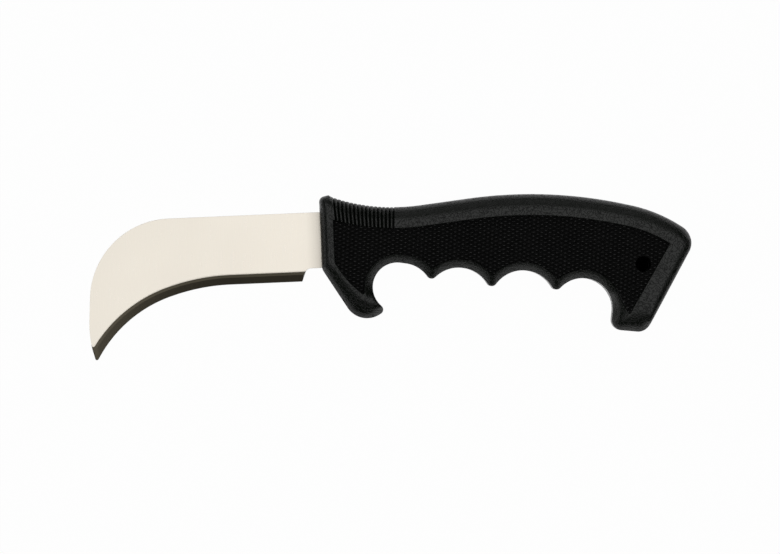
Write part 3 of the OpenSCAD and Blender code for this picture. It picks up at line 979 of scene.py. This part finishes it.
def mix_of(add, a, b, factor):
    """Two values mixed, with the factor as the second one's share."""
    node = add("ShaderNodeMix", [(a, "A"), (b, "B")], data_type="FLOAT")
    node.inputs["Factor"].default_value = factor
    return node.outputs["Result"]


def brushed_steel(name, bright, dark, rough, tones_and_painted_shade):
    """Steel ground across the blade: hair lines along Y, faint clouds, and a shade along X from (x, shade)
    pairs, which on the blade and its bevel is painted shade.
    """
    material, tree, shader, add = new_material(name)
    place = add("ShaderNodeTexCoord").outputs["Object"]
    lines = noise_of(add, place, scale=60, detail=3.0, stretch=(60, 1.5, 1.5))
    clouds = noise_of(add, place, scale=30)
    colour = colours_of(add, mix_of(add, lines, clouds, factor=0.5), [(0.3, dark), (0.7, bright)])
    # Shade along X, multiplied into the colour: on the blade and its bevel this is painted shade
    along_x = add("ShaderNodeSeparateXYZ", [(place, "Vector")]).outputs["X"]
    start, end = tones_and_painted_shade[0][0], tones_and_painted_shade[-1][0]
    along_tones = range_of(add, along_x, 0.0, 1.0, KNIFE[0] + start * MM, KNIFE[0] + end * MM)
    stops = [((x - start) / (end - start), (shade, shade, shade)) for x, shade in tones_and_painted_shade]
    tone_and_painted_shade = colours_of(add, along_tones, stops)
    toned_and_shaded = add("ShaderNodeMix", [(colour, "A"), (tone_and_painted_shade, "B")], data_type="RGBA", blend_type="MULTIPLY")
    toned_and_shaded.inputs["Factor"].default_value = 1.0
    tree.links.new(toned_and_shaded.outputs["Result"], shader.inputs["Base Color"])
    shader.inputs["Metallic"].default_value = 1.0
    tree.links.new(range_of(add, lines, rough - 0.03, rough + 0.03), shader.inputs["Roughness"])
    tree.links.new(bump_of(add, lines, strength=0.05, distance=0.00002), shader.inputs["Normal"])
    return material


def moulded_plastic(name, low, high, rough, gloss):
    """Black plastic from a spark-eroded mould: fine grain, curled creases and broad faint clouds."""
    material, tree, shader, add = new_material(name)
    place = add("ShaderNodeTexCoord").outputs["Object"]
    grain = noise_of(add, place, scale=2400)
    clouds = noise_of(add, place, scale=45, detail=1.0)
    curls = noise_of(add, place, scale=800, detail=1.5)
    middle_off = add("ShaderNodeMath", [(curls, 0)], operation="SUBTRACT")
    middle_off.inputs[1].default_value = 0.5
    off_crease = add("ShaderNodeMath", [(middle_off.outputs["Value"], 0)], operation="ABSOLUTE")
    land = range_of(add, off_crease.outputs["Value"], 0.0, 1.0, first=0.0, last=0.07)
    speckle = mix_of(add, land, grain, factor=0.4)
    mottle = mix_of(add, speckle, clouds, factor=0.35)
    tree.links.new(colours_of(add, mottle, [(0.3, low), (0.75, high)]), shader.inputs["Base Color"])
    worn = range_of(add, speckle, rough + 0.4, rough, first=0.25, last=0.65)
    tree.links.new(worn, shader.inputs["Roughness"])
    shader.inputs["Specular IOR Level"].default_value = gloss
    fine = bump_of(add, grain, strength=0.5, distance=0.00005)
    creased = bump_of(add, land, strength=1.0, distance=0.00004, below=fine)
    tree.links.new(creased, shader.inputs["Normal"])
    return material


def dress(piece, material, slot, *nodes):
    """Gives a piece its material, and its place in the frame instead of the CAD nodes."""
    piece.data.materials.clear()
    piece.data.materials.append(material)
    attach(piece, "root")
    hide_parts(*nodes)


def make_knife():
    """All pieces of the knife with their materials; the rivets keep their CAD solids."""
    shell_black = moulded_plastic("moulded_black_shell", low=(0.0002, 0.0008, 0.0002),
                                  high=(0.0026, 0.005, 0.0024), rough=0.27, gloss=0.42)
    grip_black = moulded_plastic("black_grip_rubber", low=(0.0006, 0.0007, 0.0006),
                                 high=(0.0038, 0.004, 0.0038), rough=0.42, gloss=0.52)
    # The blade's steel falls to 0.74 over its last 5 mm before the collar: painted shade for the handle's
    # shadow and its dark reflection there. Further out it is lightest about 9 mm from the collar and a
    # little darker towards the hook.
    steel = brushed_steel("brushed_blade_steel", bright=(0.965, 0.905, 0.8), dark=(0.89, 0.83, 0.735),
                          rough=0.3, tones_and_painted_shade=((-45, 0.955), (-20, 0.985), (-9, 1.0), (-5, 0.98), (0, 0.74)))
    # The bevel's steel is given about a seventh of the blade's colour: painted shade for the dark reflection
    # that the ground bevel shows. It is darker still from the point towards the heel.
    bevel_painted_shade = brushed_steel("ground_bevel_painted_shade", bright=(0.13, 0.114, 0.083),
                                dark=(0.098, 0.086, 0.062), rough=0.34, tones_and_painted_shade=((-85, 0.9), (-35, 0.66)))
    rivet_steel = brushed_steel("rivet_steel", bright=(0.62, 0.62, 0.62), dark=(0.5, 0.5, 0.5),
                                rough=0.35, tones_and_painted_shade=((0, 1.0), (130, 0.9)))
    blade = make_blade()
    dress(blade, steel, "steel", "blade")
    blade.data.materials.append(bevel_painted_shade)
    mark_bevel(blade)
    for piece, node in zip(make_shells(), ("shell_left", "shell_right")):
        dress(piece, shell_black, "shell", node)
    for piece, node in zip(make_panels(), ("panel_left", "panel_right")):
        dress(piece, grip_black, "grip", node)
    for node in ("rivet_studs", "rivet_sleeves"):
        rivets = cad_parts[node]
        rivets.data.materials.clear()
        rivets.data.materials.append(rivet_steel)


# Faces below this share of the bevel's height that are at least so far from upright are ground
GROUND_BELOW = 0.999
GROUND_FLAT = 0.15


def mark_bevel(blade):
    """Gives the ground faces along the edge and round the point the second, far darker steel, which is
    painted shade for their dark reflection.
    """
    top = (BLADE_THICK / 2 - ARRIS_DEEP) * MM
    for face in blade.data.polygons:
        below = abs(face.center.z - KNIFE[2]) < GROUND_BELOW * top
        face.material_index = 1 if below and abs(face.normal.z) > GROUND_FLAT else 0


# The photograph's frame in metres: its width at the knife, its middle and how far the knife is turned in
# it; then the camera's distance and the range that it sees
VIEW_WIDTH = 0.273
VIEW_MIDDLE = (KNIFE[0] + 0.02358, KNIFE[1] - 0.01396)
VIEW_TURN = math.radians(2.43)
CAMERA_FAR = 1.5
SENSOR = 36.0
CLIP_START = 0.05
CLIP_END = 50.0
# Light of the room, and the table: its size, its white and the near black painted round the hole as shade,
# how far that painted shade reaches round the hole in radii of the hole, and the share of white that the
# camera and reflections see
ROOM_LIGHT = 0.06
TABLE_SIZE = 20.0
TABLE_WHITE = (0.9, 0.9, 0.9)
TABLE_PAINTED_SHADE = (0.004, 0.004, 0.004)
PAINTED_SHADE_REACH = 1.4
WHITE_FROM = 1.8
WHITE_SHARE = 0.98


def make_camera():
    """A camera that looks straight down, as far off as a long lens."""
    bpy.ops.object.camera_add(location=(*VIEW_MIDDLE, KNIFE[2] + CAMERA_FAR), rotation=(0, 0, -VIEW_TURN))
    camera = bpy.context.object
    camera.data.sensor_width = SENSOR
    camera.data.lens = SENSOR * CAMERA_FAR / VIEW_WIDTH
    camera.data.clip_start = CLIP_START
    camera.data.clip_end = CLIP_END
    bpy.context.scene.camera = camera


def softbox(name, place, size, size_y, radiance):
    """A lamp with four corners that faces the knife, given by the brightness of its face."""
    bpy.ops.object.light_add(type="AREA", location=place)
    lamp = bpy.context.object
    lamp.name = name
    lamp.data.shape = "RECTANGLE"
    lamp.data.size = size
    lamp.data.size_y = size_y
    lamp.data.energy = radiance * math.pi * size * size_y
    far = math.hypot(place[0], place[1])
    lamp.rotation_euler = (0, math.atan2(far, place[2]), math.atan2(place[1], place[0]))


def make_lights():
    """Three softboxes, sized in metres, in a dim white room."""
    softbox("softbox_above", place=(0, 0, 2.2), size=2.6, size_y=2.6, radiance=0.95)
    softbox("softbox_back", place=(0, 2.4, 1.4), size=1.6, size_y=3.0, radiance=0.35)
    softbox("softbox_left", place=(-2.4, 0.2, 0.5), size=0.8, size_y=1.6, radiance=0.7)
    world = bpy.data.worlds.new("studio")
    world.use_nodes = True
    background = world.node_tree.nodes["Background"]
    background.inputs["Color"].default_value = (1, 1, 1, 1)
    background.inputs["Strength"].default_value = ROOM_LIGHT
    bpy.context.scene.world = world


def make_floor():
    """A table that shows white and keeps a soft shadow, with painted shade at the bottom of the hanging
    hole: near black there, and without its white glow.
    """
    bpy.ops.mesh.primitive_plane_add(size=TABLE_SIZE)
    table = bpy.context.object
    table.name = "studio_table"
    material, tree, shader, add = new_material("white_table")
    shader.inputs["Roughness"].default_value = 0.9
    shader.inputs["Specular IOR Level"].default_value = 0.0
    place = add("ShaderNodeTexCoord").outputs["Object"]
    from_hole = add("ShaderNodeVectorMath", [(place, 0)], operation="DISTANCE")
    from_hole.inputs[1].default_value = (*in_frame([hole], 0)[0][:2], 0)
    clear = range_of(add, from_hole.outputs["Value"], 0.0, 1.0,
                     first=PAINTED_SHADE_REACH * HOLE_R * MM, last=WHITE_FROM * HOLE_R * MM)
    # Painted shade: the table is near black round the hole and fades to white further out
    colour = colours_of(add, clear, [(0.0, TABLE_PAINTED_SHADE), (1.0, TABLE_WHITE)])
    tree.links.new(colour, shader.inputs["Base Color"])
    path = add("ShaderNodeLightPath")
    seen = add("ShaderNodeMath", [(path.outputs["Is Camera Ray"], 0), (path.outputs["Is Glossy Ray"], 1)],
               operation="MAXIMUM")
    seen = add("ShaderNodeMath", [(seen.outputs["Value"], 0), (path.outputs["Is Transmission Ray"], 1)],
               operation="MAXIMUM")
    lit = add("ShaderNodeMath", [(seen.outputs["Value"], 0), (clear, 1)], operation="MULTIPLY")
    share = add("ShaderNodeMath", [(lit.outputs["Value"], 0)], operation="MULTIPLY")
    share.inputs[1].default_value = WHITE_SHARE
    glow = add("ShaderNodeEmission")
    mix = add("ShaderNodeMixShader", [(share.outputs["Value"], 0), (shader.outputs["BSDF"], 1),
                                      (glow.outputs["Emission"], 2)])
    tree.links.new(mix.outputs["Shader"], tree.nodes["Material Output"].inputs["Surface"])
    table.data.materials.append(material)


bpy.context.scene.view_settings.view_transform = "Standard"
make_camera()
make_lights()
make_floor()
make_knife()
